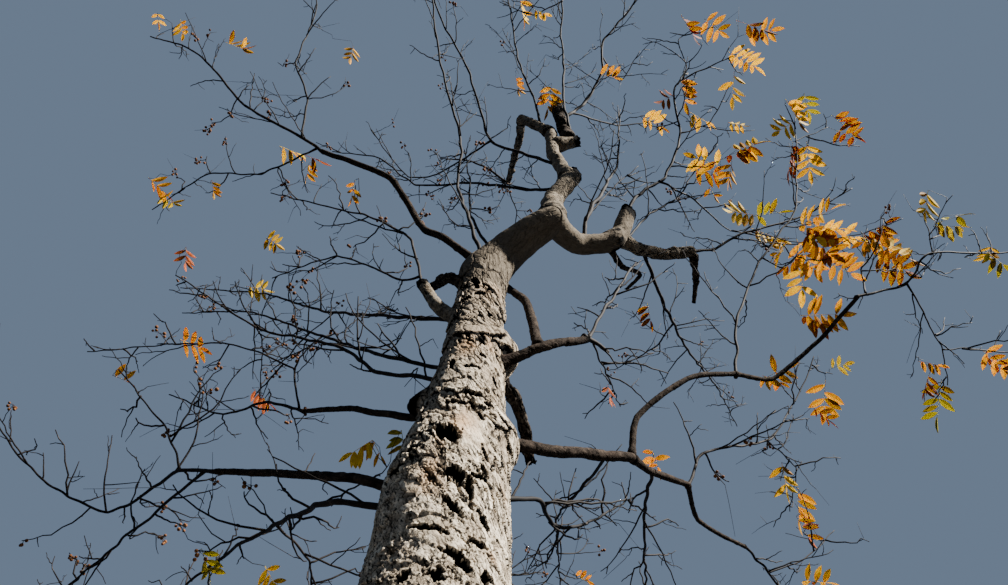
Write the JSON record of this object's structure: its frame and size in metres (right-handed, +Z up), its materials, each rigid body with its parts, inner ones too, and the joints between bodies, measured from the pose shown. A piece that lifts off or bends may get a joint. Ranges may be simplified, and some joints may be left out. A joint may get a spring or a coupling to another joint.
{
  "type": "bare winter tree",
  "caption": "Bare winter tree, once lopped: a flared, burled trunk forks into stubbed arms with crooked boughs, zigzag twigs and a few last yellow leaves.",
  "frame": {"origin": "middle of the flat cut under the trunk, at ground level", "axes": "+Z up along the trunk; +Y away from the picture's viewer; +X to the picture's right"},
  "size_m": [5.9592, 5.2381, 8.9536],
  "materials": {
    "bark": "rough flaking bark, pale grey-beige plates over dark crevices",
    "dead_wood": "dry, cracked and blackened",
    "twigs": "dull, finely wrinkled",
    "leaves": "dry autumn leaf, yellow to russet"
  },
  "bodies": {
    "root": {"trunk": "bark", "upper_arm": "bark", "upper_arm_top": "bark", "top_arm": "bark", "top_back_arm": "bark", "right_arm": "bark", "right_arm_end": "bark", "left_bough": "bark", "left_lopped_bough": "bark", "left_mid_bough": "bark", "left_low_bough": "bark", "right_broken_bough": "bark", "climbing_bough": "bark", "right_low_bough": "bark", "right_climbing_bough": "bark", "right_reaching_bough": "bark", "right_falling_bough": "bark", "right_far_bough": "bark", "far_bough": "bark", "far_high_bough": "bark", "side_stub": "dead_wood", "crown_stub": "dead_wood", "right_stub": "dead_wood", "hanging_stub": "dead_wood", "curled_branch": "dead_wood", "hollow_stub": "dead_wood", "dark_stub": "dead_wood", "left_top_twigs": "twigs", "left_lopped_twigs": "twigs", "left_middle_twigs": "twigs", "left_lower_twigs": "twigs", "left_behind_twigs": "twigs", "left_mid_twigs": "twigs", "left_low_twigs": "twigs", "left_far_twigs": "twigs", "climbing_twigs": "twigs", "right_broken_twigs": "twigs", "far_right_twigs": "twigs", "far_middle_twigs": "twigs", "right_foot_twigs": "twigs", "right_back_twigs": "twigs", "front_left_twigs": "twigs", "top_left_twigs": "twigs", "upper_left_twigs": "twigs", "top_back_twigs": "twigs", "far_twigs": "twigs", "far_high_twigs": "twigs", "right_tip_twigs": "leaves", "right_rising_twigs": "leaves", "right_branching_twigs": "leaves", "right_far_twigs": "leaves", "right_stub_twigs": "leaves", "right_end_twigs": "leaves", "right_shoot_twigs": "leaves", "shoulder_twigs": "leaves", "top_front_twigs": "leaves", "top_right_twigs": "leaves", "top_middle_twigs": "leaves"}
  },
  "joints": []
}
